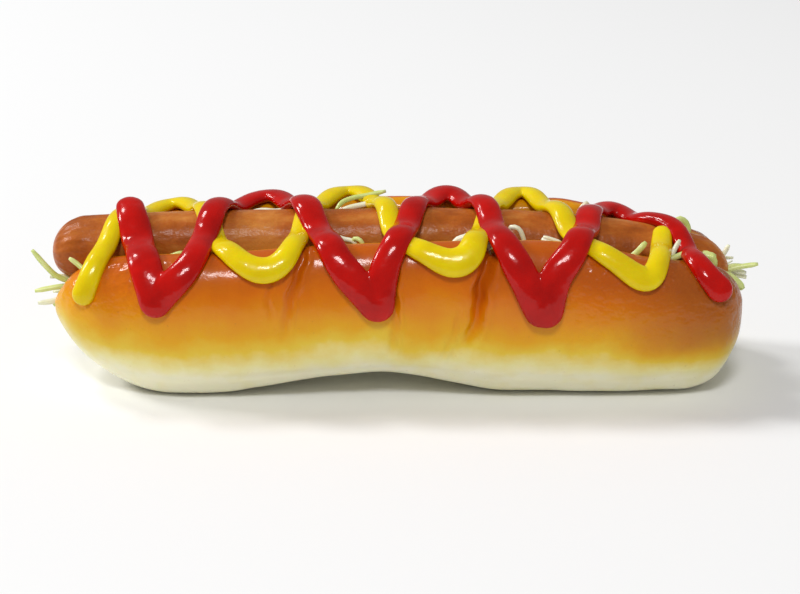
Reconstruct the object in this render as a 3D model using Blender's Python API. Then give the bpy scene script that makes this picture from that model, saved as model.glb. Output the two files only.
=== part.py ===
"""Hot dog: a soft roll split along its top holds a long sausage on shredded
lettuce, with a zigzag of mustard and a zigzag of ketchup laid over it.

+X runs along the roll, +Y to its back and +Z up. The origin is on the ground
under the middle of the whole. Sizes are in millimetres until a mesh is built.
"""
import math

import bmesh
import bpy
from mathutils import Vector

MM = 0.001
GAP = 0.35  # clearance between pieces that touch on the real thing
BACK_STEP = 1.7  # all is set back by this, as the sauces stand out at the front

# ---- roll: sizes along its length as (x, size) stations ----
ROLL_LEFT = -104.5
ROLL_RIGHT = 103.0
END_ROUNDING = 9.0  # the walls round off over this length at both ends
FRONT_LIP_TOP = ((-104, 31.5), (-97, 37.5), (-86, 42.6), (-46, 45.4), (-15, 47.6),
                 (38, 48.8), (52, 48.0), (74, 43.2), (92, 40.5), (100, 36.5), (106, 30.0))
REAR_LIP_TOP = ((-104, 33.0), (-88, 42.0), (-70, 46.4), (-52, 47.8), (-31, 49.4), (12, 50.8),
                (28, 49.6), (48, 49.8), (60, 47.8), (76, 43.6), (94, 39.5), (106, 31.0))
HALF_WIDTH = ((-104, 17.5), (-97, 22.5), (-86, 27.5), (-64, 31.2), (-6, 29.8),
              (44, 31.0), (80, 30.5), (96, 27.0), (106, 21.0))
LIP_REACH = ((-104, 12.5), (-86, 16.5), (-50, 19.5), (50, 19.5), (86, 17.5), (106, 13.5))
WIDEST_HEIGHT = ((-104, 27.0), (-90, 24.0), (-64, 21.0), (60, 21.0), (92, 21.0), (106, 23.0))
FLAT_HALF_WIDTH = ((-104, 4.0), (-86, 12.0), (-64, 18.0), (-6, 16.0), (60, 15.0),
                   (90, 12.0), (106, 7.0))
SLOT_FLOOR = ((-104, 22.8), (-90, 21.0), (-60, 19.5), (60, 19.0), (90, 17.0), (106, 18.0))
LIP_ROUNDING = 4.4
LIP_TOP_RADIUS = 11.0    # of the crust where it turns over the lip
SHOULDER_POWER = 2.25
SHOULDER_SHARE = 0.5     # shares of the outline from a lip to under the middle:
CORNER_SHARE = 0.35      # shoulder, lower corner, and the flat underside after them
ROUND_LIP_SHARE = 0.3    # share of the slot's outline that turns over the lip
ROLL_PITCH = 7.0         # spacing of the roll's sections, and near a crease
CREASE_PITCH = 2.0
CREASE_REACH = 5.5
LEAST_THICKNESS = 0.12   # share of the wall's thickness left at the roll's very ends

# ---- roll: the underside lifts between its two resting places and at its ends ----
ARCH_MIDDLE = -8.0
ARCH_LEFT_LENGTH = 52.0
ARCH_RIGHT_LENGTH = 42.0
ARCH_HEIGHT = 6.4
LEFT_LIFT_START = -70.0
LEFT_LIFT = 17.5
LEFT_LIFT_POWER = 2.3
RIGHT_LIFT_START = 84.0
RIGHT_LIFT = 11.0
RIGHT_LIFT_POWER = 2.6

# ---- roll: creases pressed into the front wall (x, lean, depth, width, low z, high z) ----
CREASES = (
    (-37.5, 0.00, 0.7, 1.5, 27.0, 46.0),
    (-31.5, 0.20, 1.1, 1.8, 22.0, 48.0),
    (-0.8, 0.02, 1.3, 1.9, 14.0, 46.0),
    (24.5, 0.22, 3.0, 2.4, 10.0, 52.0),
)
CREASE_LEAN_HEIGHT = 34.0
CREASE_FADE = 7.0

# ---- sausage ----
SAUSAGE_RADIUS = 9.7
SAUSAGE_SECTIONS = 15
SAUSAGE_LEFT = -106.2
SAUSAGE_RIGHT = 101.2
SAUSAGE_HEIGHT = ((-106, 40.2), (-92, 41.2), (-60, 41.9), (-15, 42.4), (2, 43.0),
                  (38, 41.7), (62, 39.8), (78, 37.4), (90, 34.6), (102, 31.6))
SAUSAGE_SIDE_STEP = ((-106, -1.0), (-50, 0.5), (0, 0.0), (50, 0.6), (102, -0.8))

# ---- lettuce heap ----
HEAP_GAP = 1.4
HEAP_BELOW_LIP = 4.8
HEAP_LUMP = 0.9
HEAP_WAVES = (0.31, 0.113, 0.5)  # lumps along the heap: two at its edges, one over its top
HEAP_PHASE = 0.7
HEAP_CROWN_STEP = 2.1
HEAP_SECTIONS = 30
HEAP_CROWN_POINTS = 6
TONGUE_LENGTH = 9.0
TONGUE_END = 108.0
HEAP_TIP = 0.15          # the last sections stop this short of the tongue's end
LEFT_TONGUE = (7.5, 4.2, 29.0)    # half width, half height, height of its middle
RIGHT_TONGUE = (7.5, 5.0, 27.0)
PRONGS = ((-1.0, 0.9), (-0.45, 0.2), (0.05, -0.6), (0.5, 0.5), (1.0, -0.3))  # across, up
PRONG_RADIUS = 1.9
PRONG_END = 112.5
PRONG_ROOT = 103.0
PRONG_RISE = 2.0
PRONG_STEP = 1.3         # neighbouring prongs end this much further in
PRONG_SPREAD = 1.15
PRONG_TAPER = ((0.0, 1.0), (0.5, 0.9), (0.85, 0.6), (1.0, 0.25))

# ---- sauces: strand sizes, and routes as (x, reach) ----
# Reach is measured over the surface from the sausage's crest: minus down the
# front wall, plus towards the back. Ketchup runs from one front turn to the next.
STRAND_GAP = 0.5
STRAND_SAG = 3.2         # most that a strand sinks between the sausage and a lip
MUSTARD_WIDTH = 6.2
MUSTARD_HEIGHT = 4.0
MUSTARD_SQUASH = 0.5    # share of its height that mustard loses under ketchup
KETCHUP_WIDTH = 8.4
KETCHUP_HEIGHT = 3.6
KETCHUP_LIFT = 1.4      # how far ketchup rises where it passes over mustard
CROSSING_REACH = 8.5
CHART_PITCH = 1.5       # spacing of the spots that crossings are looked for on
STRAND_PITCH = 3.8
MUSTARD_ROUTE = (
    (-93.6, -29.0), (-91.0, -23.5), (-88.2, -15.0), (-84.7, -1.0), (-80.0, 12.0),
    (-71.5, 21.0), (-63.0, 12.0), (-59.5, 1.0), (-56.3, -10.5), (-52.5, -20.0),
    (-46.5, -27.0), (-39.5, -29.8), (-34.5, -27.5), (-31.3, -21.0), (-28.6, -3.0),
    (-24.0, 13.0), (-15.8, 23.0), (-8.5, 13.0), (-4.5, 0.0), (-1.6, -14.0),
    (1.6, -21.5), (8.5, -26.0), (16.0, -29.0), (20.3, -27.0), (22.4, -21.0),
    (26.3, -4.0), (30.5, 11.0), (38.5, 23.0), (44.5, 11.0), (49.0, -2.0),
    (52.0, -14.5), (55.5, -22.0), (63.8, -26.5), (72.5, -29.6), (75.8, -24.5),
    (78.4, -12.5), (79.4, -5.5),
)
KETCHUP_ROUTES = (
    ((-82.0, -0.5), (-79.6, -9.0), (-76.6, -20.3), (-71.6, -36.2)),
    ((-71.6, -36.2), (-61.5, -26.8), (-58.6, -14.5), (-55.5, 0.0), (-50.0, 14.0),
     (-41.0, 21.0), (-33.0, 10.0), (-27.8, -3.0), (-23.4, -14.5), (-18.5, -26.5),
     (-7.0, -40.0)),
    ((-6.4, -40.0), (-4.0, -28.0), (-0.4, -21.5), (3.0, -6.8), (6.8, 7.0),
     (14.8, 19.0), (21.5, 9.0), (26.2, -3.0), (29.5, -20.0), (33.5, -29.0),
     (41.2, -43.0)),
    ((42.9, -43.2), (45.6, -33.0), (51.2, -25.0), (55.0, -14.0), (57.6, -1.0),
     (61.2, 11.0), (66.6, 17.0), (71.8, 12.5), (75.6, 5.0), (79.4, 2.0),
     (83.2, -2.0), (85.9, -9.0), (88.1, -19.5), (91.0, -24.0), (94.2, -26.0)),
)


def clear_scene():
    for item in list(bpy.data.objects):
        bpy.data.objects.remove(item, do_unlink=True)


def along(stations, x):
    """Smooth size at x through (x, size) stations, constant past the two ends."""
    if x <= stations[0][0]:
        return stations[0][1]
    if x >= stations[-1][0]:
        return stations[-1][1]
    last = len(stations) - 2
    index = next(i for i in range(last + 1) if x <= stations[i + 1][0])
    slopes = [(b[1] - a[1]) / (b[0] - a[0]) for a, b in zip(stations, stations[1:])]

    def tangent(station):
        before = slopes[max(station - 1, 0)]
        after = slopes[min(station, last)]
        if before * after <= 0.0:
            return 0.0
        return 2.0 * before * after / (before + after)

    x0, low = stations[index]
    x1, high = stations[index + 1]
    step = x1 - x0
    t = (x - x0) / step
    return (low * (2 * t**3 - 3 * t**2 + 1) + high * (3 * t**2 - 2 * t**3)
            + tangent(index) * step * (t**3 - 2 * t**2 + t)
            + tangent(index + 1) * step * (t**3 - t**2))


def quarter(centre, reach, turn, power=2.0):
    """Point on a quarter of a superellipse, from its side (turn 0) to its top (1)."""
    angle = turn * math.pi / 2
    across = max(math.cos(angle), 0.0) ** (2 / power)
    up = max(math.sin(angle), 0.0) ** (2 / power)
    return centre[0] + reach[0] * across, centre[1] + reach[1] * up


def underside(x):
    """Height of the roll's underside: flat where it rests, arched between."""
    half_length = ARCH_LEFT_LENGTH if x < ARCH_MIDDLE else ARCH_RIGHT_LENGTH
    t = min(abs(x - ARCH_MIDDLE) / half_length, 1.0)
    height = ARCH_HEIGHT * (1 - t * t) ** 2
    if x < LEFT_LIFT_START:
        part = (LEFT_LIFT_START - x) / (LEFT_LIFT_START - ROLL_LEFT)
        height += LEFT_LIFT * part**LEFT_LIFT_POWER
    if x > RIGHT_LIFT_START:
        part = (x - RIGHT_LIFT_START) / (ROLL_RIGHT - RIGHT_LIFT_START)
        height += RIGHT_LIFT * part**RIGHT_LIFT_POWER
    return height


def crease_depth(x, z):
    """How deep the front wall is pressed in at x and z."""
    depth = 0.0
    for middle, lean, deep, width, low, high in CREASES:
        line = middle + lean * (z - CREASE_LEAN_HEIGHT)
        fade = min(max((z - low) / CREASE_FADE, 0.0), 1.0)
        fade *= min(max((high - z) / CREASE_FADE, 0.0), 1.0)
        depth += deep * fade * math.exp(-((x - line) / width) ** 2)
    return depth


def roll_outer(x, side, turn):
    """Point (y, z) on the crust, from the lip (turn 0) to under the middle (turn 1)."""
    width = along(HALF_WIDTH, x)
    lip = along(LIP_REACH, x)
    top = along(FRONT_LIP_TOP if side < 0 else REAR_LIP_TOP, x)
    widest = along(WIDEST_HEIGHT, x)
    flat = along(FLAT_HALF_WIDTH, x)
    low = underside(x)
    beyond = turn - SHOULDER_SHARE
    if beyond <= 0:
        y, z = quarter((lip, widest), (width - lip, top - widest), -beyond / SHOULDER_SHARE,
                       SHOULDER_POWER)
    elif beyond <= CORNER_SHARE:
        y, z = quarter((flat, widest), (width - flat, low - widest), beyond / CORNER_SHARE)
    else:
        y, z = flat * (1 - turn) / (1 - SHOULDER_SHARE - CORNER_SHARE), low
    if side < 0:
        y -= crease_depth(x, z)
    return side * y, z


def roll_inner(x, side, turn):
    """Point (y, z) on the slot's wall, from the lip (turn 0) to the floor (turn 1)."""
    lip = along(LIP_REACH, x)
    top = along(FRONT_LIP_TOP if side < 0 else REAR_LIP_TOP, x)
    floor = along(SLOT_FLOOR, x)
    if turn <= ROUND_LIP_SHARE:
        y, z = quarter((lip, top - LIP_ROUNDING), (-LIP_ROUNDING, LIP_ROUNDING),
                       1 - turn / ROUND_LIP_SHARE)
    else:
        wall = lip - LIP_ROUNDING
        y, z = quarter((0, top - LIP_ROUNDING), (wall, floor - top + LIP_ROUNDING),
                       (turn - ROUND_LIP_SHARE) / (1 - ROUND_LIP_SHARE))
    return side * y, z


def roll_section(x, thickness, half_count):
    """Closed outline of the roll at x, with its wall's thickness drawn in by a share."""
    rows = []
    for side in (-1, 1):
        top = along(FRONT_LIP_TOP if side < 0 else REAR_LIP_TOP, x) - LIP_ROUNDING
        row = []
        for i in range(half_count + 1):
            turn = i / half_count
            outer = roll_outer(x, side, turn)
            inner = roll_inner(x, side, turn)
            middle = ((outer[0] + inner[0]) / 2, min((outer[1] + inner[1]) / 2, top))
            row.append([tuple(m + (p - m) * thickness for m, p in zip(middle, point))
                        for point in (outer, inner)])
        rows.append(row)
    front, rear = rows
    outer = [pair[0] for pair in front] + [pair[0] for pair in reversed(rear[:-1])]
    inner = [pair[1] for pair in front] + [pair[1] for pair in reversed(rear[:-1])]
    return outer, inner


def roll_stations():
    """(x, thickness) of each section: finer at the rounded ends and the creases."""
    stations = []
    for end, sign in ((ROLL_LEFT, 1), (ROLL_RIGHT, -1)):
        for degrees in (10, 32, 60, 90):
            angle = math.radians(degrees)
            stations.append((end + sign * END_ROUNDING * (1 - math.cos(angle)),
                             max(math.sin(angle), LEAST_THICKNESS)))
    last = ROLL_RIGHT - END_ROUNDING - CREASE_PITCH
    x = ROLL_LEFT + END_ROUNDING
    while x < last:
        near_crease = min(abs(x - crease[0]) for crease in CREASES) < CREASE_REACH
        x = min(x + (CREASE_PITCH if near_crease else ROLL_PITCH), last)
        stations.append((x, 1.0))
    return sorted(stations)


def material(name, colour, roughness):
    made = bpy.data.materials.new(name)
    made.use_nodes = True
    shader = made.node_tree.nodes["Principled BSDF"]
    shader.inputs["Base Color"].default_value = (*colour, 1.0)
    shader.inputs["Roughness"].default_value = roughness
    shader.inputs["Metallic"].default_value = 0.0
    return made


def finish(bm, name, made):
    """Turn a bmesh in millimetres into a named object in metres, faces outward."""
    bmesh.ops.remove_doubles(bm, verts=bm.verts, dist=1e-4)
    bmesh.ops.recalc_face_normals(bm, faces=bm.faces)
    bmesh.ops.translate(bm, vec=(0.0, BACK_STEP, 0.0), verts=bm.verts)
    bmesh.ops.scale(bm, vec=(MM, MM, MM), verts=bm.verts)
    mesh = bpy.data.meshes.new(name)
    bm.to_mesh(mesh)
    bm.free()
    mesh.shade_smooth()
    mesh.materials.append(made)
    item = bpy.data.objects.new(name, mesh)
    bpy.context.scene.collection.objects.link(item)
    return item


def hide_guide(item):
    item.hide_render = True
    item.display_type = "WIRE"


def skin_rings(bm, rings):
    """Quads between neighbouring closed rings of the same count."""
    for ring, following in zip(rings, rings[1:]):
        count = len(ring)
        for i in range(count):
            j = (i + 1) % count
            bm.faces.new((ring[i], ring[j], following[j], following[i]))


def build_roll(half_count=8):
    bm = bmesh.new()
    rings = []
    ends = []
    for x, thickness in roll_stations():
        outer, inner = roll_section(x, thickness, half_count)
        outer_verts = [bm.verts.new((x, y, z)) for y, z in outer]
        inner_verts = [bm.verts.new((x, y, z)) for y, z in inner[1:-1]]
        rings.append(outer_verts + inner_verts[::-1])
        ends.append((outer_verts, [outer_verts[0]] + inner_verts + [outer_verts[-1]]))
    skin_rings(bm, rings)
    for outer_verts, inner_verts in (ends[0], ends[-1]):
        for i in range(len(outer_verts) - 1):
            corners = (outer_verts[i], outer_verts[i + 1], inner_verts[i + 1], inner_verts[i])
            bm.faces.new(list(dict.fromkeys(corners)))
    return finish(bm, "bun", material("bun_crust", (0.62, 0.30, 0.06), 0.45))


def sausage_centre(x):
    return along(SAUSAGE_SIDE_STEP, x), along(SAUSAGE_HEIGHT, x)


def build_sausage(name, made, extra=0.0, sides=18):
    """The sausage, or its clearance body where extra is added all over."""
    bm = bmesh.new()
    radius = SAUSAGE_RADIUS + extra
    left = SAUSAGE_LEFT - extra
    right = SAUSAGE_RIGHT + extra
    stations = []
    for end, sign in ((left, 1), (right, -1)):
        for degrees in (16, 38, 62, 90):
            angle = math.radians(degrees)
            stations.append((end + sign * radius * (1 - math.cos(angle)), math.sin(angle)))
    first = left + radius
    pitch = (right - left - 2 * radius) / SAUSAGE_SECTIONS
    stations += [(first + pitch * i, 1.0) for i in range(1, SAUSAGE_SECTIONS)]
    rings = []
    for x, share in sorted(stations):
        y0, z0 = sausage_centre(x)
        rings.append([bm.verts.new((x, y0 + radius * share * math.sin(2 * math.pi * k / sides),
                                    z0 + radius * share * math.cos(2 * math.pi * k / sides)))
                      for k in range(sides)])
    skin_rings(bm, rings)
    for ring, end in ((rings[0], left), (rings[-1], right)):
        y0, z0 = sausage_centre(end)
        tip = bm.verts.new((end, y0, z0))
        for i in range(sides):
            bm.faces.new((ring[i], ring[(i + 1) % sides], tip))
    return finish(bm, name, made)


def heap_section(x, half_count):
    """Closed outline of the lettuce heap at x."""
    rows = []
    tongue = LEFT_TONGUE if x < 0 else RIGHT_TONGUE
    part = max((abs(x) - TONGUE_END + TONGUE_LENGTH) / TONGUE_LENGTH, 0.0)
    blend = min(part * 3.0, 1.0)
    shrink = math.sqrt(max(1 - part**2.4, 0.0))
    for side in (-1, 1):
        lip = along(LIP_REACH, x)
        top = along(FRONT_LIP_TOP if side < 0 else REAR_LIP_TOP, x) - LIP_ROUNDING
        floor = along(SLOT_FLOOR, x) + HEAP_GAP
        wall = lip - LIP_ROUNDING - HEAP_GAP
        heap_top = top + LIP_ROUNDING - HEAP_BELOW_LIP
        wave = math.cos(x * HEAP_WAVES[1] * side + HEAP_PHASE)
        heap_top += HEAP_LUMP * math.sin(x * HEAP_WAVES[0] + side) * wave
        drop = math.acos(min(max((top - heap_top) / (top - floor), 0.0), 1.0)) / (math.pi / 2)
        row = []
        for i in range(half_count + 1):
            turn = 1 - drop + drop * i / half_count
            y, z = quarter((0, top), (wall, floor - top), turn)
            angle = (i / half_count) * math.pi / 2
            oval_y = tongue[0] * math.cos(angle)
            oval_z = tongue[2] - tongue[1] * math.sin(angle)
            y = (y + (oval_y - y) * blend) * shrink
            z = z + (oval_z - z) * blend
            z = tongue[2] + (z - tongue[2]) * (shrink if part > 0 else 1.0)
            row.append((side * y, z))
        rows.append(row)
    front, rear = rows
    bottom = front + rear[:-1][::-1]
    crown = []
    for k in range(1, HEAP_CROWN_POINTS):
        share = k / HEAP_CROWN_POINTS
        y = rear[0][0] + (front[0][0] - rear[0][0]) * share
        z = rear[0][1] + (front[0][1] - rear[0][1]) * share
        rise = math.sin(math.pi * share)
        z += rise * (1.0 + (tongue[1] - 1.0) * blend) * shrink
        z += HEAP_LUMP / 2 * math.sin(x * HEAP_WAVES[2] + k * HEAP_CROWN_STEP) * shrink
        crown.append((y, z))
    return bottom + crown


def build_prongs(made, sides=5):
    """Bundles of shreds that fan out of both ends of the heap."""
    bm = bmesh.new()
    for end, tongue in ((-1, LEFT_TONGUE), (1, RIGHT_TONGUE)):
        for index, (across, up) in enumerate(PRONGS):
            root = Vector((end * PRONG_ROOT, across * tongue[0] / 2, tongue[2] + up * PRONG_RISE))
            tip = Vector((end * (PRONG_END - (index % 3) * PRONG_STEP),
                          across * tongue[0] * PRONG_SPREAD, tongue[2] + up * tongue[1]))
            rings = []
            for share, size in PRONG_TAPER:
                centre = root.lerp(tip, share)
                rings.append([bm.verts.new(centre + Vector((
                    0, math.cos(2 * math.pi * k / sides) * PRONG_RADIUS * size,
                    math.sin(2 * math.pi * k / sides) * PRONG_RADIUS * size))) for k in range(sides)])
            skin_rings(bm, rings)
            bm.faces.new(rings[0])
            bm.faces.new(rings[-1])
    return finish(bm, "lettuce prongs", made)


def build_heap(sausage_clearance, half_count=5):
    bm = bmesh.new()
    made = material("lettuce_shreds", (0.55, 0.68, 0.24), 0.5)
    rings = []
    reach = TONGUE_END - HEAP_TIP
    for i in range(HEAP_SECTIONS + 1):
        x = -reach * math.cos(math.pi * i / HEAP_SECTIONS)
        rings.append([bm.verts.new((x, y, z)) for y, z in heap_section(x, half_count)])
    skin_rings(bm, rings)
    bm.faces.new(rings[0])
    bm.faces.new(rings[-1])
    heap = finish(bm, "lettuce", made)
    prongs = build_prongs(made)
    hide_guide(prongs)
    join = heap.modifiers.new("join the prongs", "BOOLEAN")
    join.operation = "UNION"
    join.object = prongs
    cut = heap.modifiers.new("room for the sausage", "BOOLEAN")
    cut.operation = "DIFFERENCE"
    cut.object = sausage_clearance
    return heap


def drape_line(x, count=14):
    """Outline (y, z, on the sausage) that a strand laid over the hot dog hangs on."""
    y0, z0 = sausage_centre(x)
    points = []
    place = min(max(x, ROLL_LEFT + 3), ROLL_RIGHT - 3)
    width = along(HALF_WIDTH, place)
    lip = along(LIP_REACH, place)
    widest = along(WIDEST_HEIGHT, place)
    for side in (-1, 1):
        top = along(FRONT_LIP_TOP if side < 0 else REAR_LIP_TOP, place)
        for i in range(count + 1):
            y, z = quarter((lip, widest), (width - lip, top - widest), i / count, SHOULDER_POWER)
            points.append((side * y, z, False))
    for i in range(count + 1):
        angle = math.pi * i / count
        points.append((y0 - SAUSAGE_RADIUS * math.cos(angle),
                       z0 + SAUSAGE_RADIUS * math.sin(angle), True))
    hull = []
    for point in sorted(points):
        while len(hull) > 1:
            (ay, az, _), (by, bz, _) = hull[-2], hull[-1]
            if (by - ay) * (point[1] - az) - (bz - az) * (point[0] - ay) < 0:
                break
            hull.pop()
        hull.append(point)
    return hull


def sag(distance, length):
    """How far a strand sinks between the sausage and a lip, at a distance from the sausage."""
    over_sausage = distance**2 / (2 * SAUSAGE_RADIUS)
    over_lip = (length - distance) ** 2 / (2 * LIP_TOP_RADIUS)
    limits = (STRAND_SAG, over_sausage, over_lip)
    return sum(1 / max(limit, 1e-3) ** 2 for limit in limits) ** -0.5


def on_drape(x, reach):
    """Place and outward direction (y, z pairs) at a distance from the crest."""
    line = drape_line(x)
    lengths = [0.0]
    for a, b in zip(line, line[1:]):
        lengths.append(lengths[-1] + math.dist(a[:2], b[:2]))
    crest = max(range(len(line)), key=lambda i: line[i][1] if line[i][2] else 0.0)
    goal = min(max(lengths[crest] + reach, 0.01), lengths[-1] - 0.01)
    index = next(i for i in range(len(line) - 1) if lengths[i + 1] >= goal)
    (ay, az, a_on), (by, bz, b_on) = line[index], line[index + 1]
    length = lengths[index + 1] - lengths[index]
    walked = goal - lengths[index]
    out = (-(bz - az) / length, (by - ay) / length)
    sink = 0.0
    if a_on != b_on:
        sink = sag(walked if a_on else length - walked, length)
    y = ay + (by - ay) * walked / length - out[0] * sink
    z = az + (bz - az) * walked / length - out[1] * sink
    return (y, z), out


def curve_through(points, pitch):
    """Evenly spaced points on a centripetal Catmull-Rom curve through the given ones."""
    spots = [Vector(p) for p in points]
    spots = [spots[0] * 2 - spots[1]] + spots + [spots[-1] * 2 - spots[-2]]
    fine = []
    for p0, p1, p2, p3 in zip(spots, spots[1:], spots[2:], spots[3:]):
        t1 = (p1 - p0).length ** 0.5
        t2 = t1 + (p2 - p1).length ** 0.5
        t3 = t2 + (p3 - p2).length ** 0.5
        for k in range(16):
            t = t1 + (t2 - t1) * k / 16
            a1 = p0 * ((t1 - t) / t1) + p1 * (t / t1)
            a2 = p1 * ((t2 - t) / (t2 - t1)) + p2 * ((t - t1) / (t2 - t1))
            a3 = p2 * ((t3 - t) / (t3 - t2)) + p3 * ((t - t2) / (t3 - t2))
            b1 = a1 * ((t2 - t) / t2) + a2 * (t / t2)
            b2 = a2 * ((t3 - t) / (t3 - t1)) + a3 * ((t - t1) / (t3 - t1))
            fine.append(b1 * ((t2 - t) / (t2 - t1)) + b2 * ((t - t1) / (t2 - t1)))
    fine.append(spots[-2])
    total = sum((b - a).length for a, b in zip(fine, fine[1:]))
    steps = max(round(total / pitch), 2)
    even = [fine[0]]
    walked = 0.0
    for a, b in zip(fine, fine[1:]):
        length = (b - a).length
        while len(even) <= steps and length > 0 and walked + length >= total / steps * len(even):
            even.append(a + (b - a) * ((total / steps * len(even) - walked) / length))
        walked += length
    if len(even) <= steps:
        even.append(fine[-1])
    return even


def nearness(spot, others):
    """1 where the spot on the surface is on one of the others, 0 past the crossing."""
    gap = min((spot - other).length for other in others) / CROSSING_REACH
    return (1 - min(gap, 1.0) ** 2) ** 2


def strand_points(route, height, pitch, crossed, lift, squash):
    """(centre, outward direction, height share) along a strand that crosses another."""
    result = []
    for spot in curve_through(route, pitch):
        (y, z), (ny, nz) = on_drape(spot[0], spot[1])
        near = nearness(spot, crossed)
        share = 1 - squash * near
        rise = height * share / 2 + STRAND_GAP + lift * near
        result.append((Vector((spot[0], y + ny * rise, z + nz * rise)), Vector((0, ny, nz)), share))
    return result


def build_strand(name, made, strand, width, height, extra=0.0, sides=8):
    """A tube of oval section with rounded ends; extra is added all over it."""
    bm = bmesh.new()
    rings = []
    half_width = width / 2 + extra
    count = len(strand)
    for i, (centre, up, share) in enumerate(strand):
        ahead = strand[min(i + 1, count - 1)][0] - strand[max(i - 1, 0)][0]
        ahead.normalize()
        across = ahead.cross(up).normalized() * half_width
        lift = across.cross(ahead).normalized() * (height * share / 2 + extra)
        angles = [2 * math.pi * k / sides for k in range(sides)]
        rings.append([bm.verts.new(centre + across * math.cos(a) + lift * math.sin(a))
                      for a in angles])
    skin_rings(bm, rings)
    for ring, index, inward in ((rings[0], 0, 1), (rings[-1], count - 1, count - 2)):
        centre = strand[index][0]
        outward = (centre - strand[inward][0]).normalized() * half_width
        last = ring
        for degrees in (35, 65):
            angle = math.radians(degrees)
            inner = [bm.verts.new(centre + (vert.co - centre) * math.cos(angle)
                                  + outward * math.sin(angle)) for vert in ring]
            skin_rings(bm, [last, inner])
            last = inner
        tip = bm.verts.new(centre + outward)
        for i in range(sides):
            bm.faces.new((last[i], last[(i + 1) % sides], tip))
    return finish(bm, name, made)


def build_sauces():
    mustard_material = material("mustard_sauce", (0.78, 0.56, 0.01), 0.3)
    ketchup_material = material("ketchup_sauce", (0.45, 0.01, 0.008), 0.25)
    mustard_chart = curve_through(MUSTARD_ROUTE, CHART_PITCH)
    ketchup_charts = [spot for route in KETCHUP_ROUTES for spot in curve_through(route, CHART_PITCH)]
    line = strand_points(MUSTARD_ROUTE, MUSTARD_HEIGHT, STRAND_PITCH, ketchup_charts,
                         0.0, MUSTARD_SQUASH)
    build_strand("mustard", mustard_material, line, MUSTARD_WIDTH, MUSTARD_HEIGHT)
    clearance = build_strand("mustard clearance", mustard_material, line,
                             MUSTARD_WIDTH, MUSTARD_HEIGHT, extra=GAP)
    hide_guide(clearance)
    loops = []
    for i, route in enumerate(KETCHUP_ROUTES):
        line = strand_points(route, KETCHUP_HEIGHT, STRAND_PITCH, mustard_chart, KETCHUP_LIFT, 0.0)
        name = "ketchup" if i == 0 else f"ketchup loop {i}"
        loops.append(build_strand(name, ketchup_material, line, KETCHUP_WIDTH, KETCHUP_HEIGHT))
    for loop in loops[1:]:
        join = loops[0].modifiers.new("join " + loop.name, "BOOLEAN")
        join.operation = "UNION"
        join.object = loop
        hide_guide(loop)
    cut = loops[0].modifiers.new("room for the mustard", "BOOLEAN")
    cut.operation = "DIFFERENCE"
    cut.object = clearance


def build():
    clear_scene()
    build_roll()
    sausage_material = material("sausage_skin", (0.38, 0.15, 0.04), 0.35)
    build_sausage("sausage", sausage_material)
    clearance = build_sausage("sausage clearance", sausage_material, extra=GAP)
    hide_guide(clearance)
    build_heap(clearance)
    build_sauces()


build()
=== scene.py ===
import math
import random

import bmesh
import bpy
from mathutils import Matrix, Vector, noise
from mathutils.bvhtree import BVHTree


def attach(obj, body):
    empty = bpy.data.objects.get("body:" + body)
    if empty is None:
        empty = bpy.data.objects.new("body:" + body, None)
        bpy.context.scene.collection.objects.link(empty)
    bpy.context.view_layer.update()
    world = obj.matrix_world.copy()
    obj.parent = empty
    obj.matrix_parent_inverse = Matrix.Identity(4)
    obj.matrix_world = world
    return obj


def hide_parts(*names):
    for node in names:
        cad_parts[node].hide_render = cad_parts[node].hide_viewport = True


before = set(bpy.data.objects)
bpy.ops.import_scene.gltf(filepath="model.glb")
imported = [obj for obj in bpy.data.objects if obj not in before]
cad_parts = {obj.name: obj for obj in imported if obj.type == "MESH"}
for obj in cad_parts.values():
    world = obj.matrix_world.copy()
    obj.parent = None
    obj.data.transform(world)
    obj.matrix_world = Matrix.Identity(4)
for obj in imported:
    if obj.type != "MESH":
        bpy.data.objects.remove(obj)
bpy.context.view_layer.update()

# The shapes below are in millimetres, in the CAD's own frame before it is set
# back by BACK_STEP. They follow the CAD's named sizes with far finer meshes, except
# that the strands are thicker and vary in width, the creases are narrower, the
# roll's ends are thinner, and the sausage's left end is a little lower.
MM = 0.001
BACK_STEP = 1.7

# ---- roll ----
ROLL_LEFT = -104.5
ROLL_RIGHT = 103.0
END_ROUNDING = 9.0
FRONT_LIP_TOP = ((-104, 31.5), (-97, 37.5), (-86, 42.6), (-46, 45.4), (-15, 47.6),
                 (38, 48.8), (52, 48.0), (74, 43.2), (92, 40.5), (100, 36.5), (106, 30.0))
REAR_LIP_TOP = ((-104, 33.0), (-88, 42.0), (-70, 46.4), (-52, 47.8), (-31, 49.4), (12, 50.8),
                (28, 49.6), (48, 49.8), (60, 47.8), (76, 43.6), (94, 39.5), (106, 31.0))
HALF_WIDTH = ((-104, 17.5), (-97, 22.5), (-86, 27.5), (-64, 31.2), (-6, 29.8),
              (44, 31.0), (80, 30.5), (96, 27.0), (106, 21.0))
LIP_REACH = ((-104, 12.5), (-86, 16.5), (-50, 19.5), (50, 19.5), (86, 17.5), (106, 13.5))
WIDEST_HEIGHT = ((-104, 27.0), (-90, 24.0), (-64, 21.0), (60, 21.0), (92, 21.0), (106, 23.0))
FLAT_HALF_WIDTH = ((-104, 4.0), (-86, 12.0), (-64, 18.0), (-6, 16.0), (60, 15.0),
                   (90, 12.0), (106, 7.0))
SLOT_FLOOR = ((-104, 22.8), (-90, 21.0), (-60, 19.5), (60, 19.0), (90, 17.0), (106, 18.0))
LIP_ROUNDING = 4.4
LIP_TOP_RADIUS = 11.0
SHOULDER_POWER = 2.25
LEAST_THICKNESS = 0.03
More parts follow.
